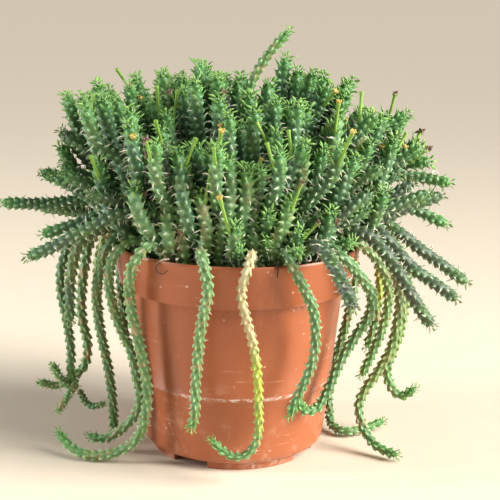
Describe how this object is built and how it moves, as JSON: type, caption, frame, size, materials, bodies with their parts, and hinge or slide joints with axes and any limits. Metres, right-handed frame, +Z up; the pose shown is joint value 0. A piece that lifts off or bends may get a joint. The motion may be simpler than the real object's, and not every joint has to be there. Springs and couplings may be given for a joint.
{
  "type": "potted medusa-head euphorbia",
  "caption": "Potted succulent: a domed crown of thick knobbly green branches, with longer ones trailing down outside a terracotta-coloured plastic nursery pot.",
  "frame": {"origin": "centre of the object's box at the surface it stands on, which is on the pot's axis", "axes": "+Z up the pot axis; -Y is the front, as first seen; +X to the right of the front view"},
  "size_m": [0.2625, 0.1921, 0.2366],
  "materials": {
    "pot": "satin moulded plastic, scuffed, with pale mineral dust",
    "soil": "coarse dark potting mix",
    "caudex": "grey-brown corky skin with old branch scars",
    "upright_branch": "waxy blue-green skin over knobs",
    "spreading_branch": "waxy dark green to grey-green skin over knobs",
    "trailing_branch": "paler grey-green skin with cream edges to the knobs",
    "leaf": "small thin bright-green leaves",
    "dry_leaf": "pale dry curled remnants",
    "flower": "yellow-green stalks and cup-shaped flowers, some dry",
    "root": "thin dark roots and dry litter"
  },
  "bodies": {
    "root": {"pot": "pot", "soil": "soil", "caudex": "caudex", "trailing_front_left": "trailing_branch", "trailing_front_middle": "trailing_branch", "trailing_front_right": "trailing_branch", "trailing_left_front": "trailing_branch", "trailing_left_inner": "trailing_branch", "trailing_left_middle": "trailing_branch", "trailing_left_grey": "trailing_branch", "trailing_left_outer": "trailing_branch", "trailing_left_back": "trailing_branch", "trailing_left_olive": "trailing_branch", "trailing_left_rear": "trailing_branch", "trailing_right_front": "trailing_branch", "trailing_right_inner": "trailing_branch", "trailing_right_middle": "trailing_branch", "trailing_right_outer": "trailing_branch", "trailing_right_yellow": "trailing_branch", "trailing_right_rear": "trailing_branch", "trailing_back_left": "trailing_branch", "trailing_back_middle": "trailing_branch", "trailing_back_right": "trailing_branch", "spreading_left_low": "spreading_branch", "spreading_left_near": "spreading_branch", "spreading_left_long": "spreading_branch", "spreading_left_high": "spreading_branch", "spreading_front_grey": "spreading_branch", "spreading_right_low": "spreading_branch", "spreading_right_near": "spreading_branch", "spreading_right_long": "spreading_branch", "spreading_right_middle": "spreading_branch", "spreading_right_high": "spreading_branch", "spreading_back_left": "spreading_branch", "spreading_back_middle": "spreading_branch", "spreading_back_right": "spreading_branch", "upright_left_outer": "upright_branch", "upright_left_front": "upright_branch", "upright_left_back": "upright_branch", "upright_left_inner": "upright_branch", "upright_left_rear": "upright_branch", "upright_left_centre": "upright_branch", "upright_centre_left": "upright_branch", "upright_centre_back": "upright_branch", "upright_tallest": "upright_branch", "upright_centre_right": "upright_branch", "upright_right_inner": "upright_branch", "upright_right_centre": "upright_branch", "upright_right_front": "upright_branch", "upright_right_outer": "upright_branch", "upright_right_side": "upright_branch", "upright_right_far": "upright_branch", "upright_right_rear": "upright_branch", "upright_front_left": "upright_branch", "upright_front_centre": "upright_branch", "upright_front_middle": "upright_branch", "upright_front_right": "upright_branch", "upright_back_centre": "upright_branch", "upright_back_right": "upright_branch"}
  },
  "joints": []
}
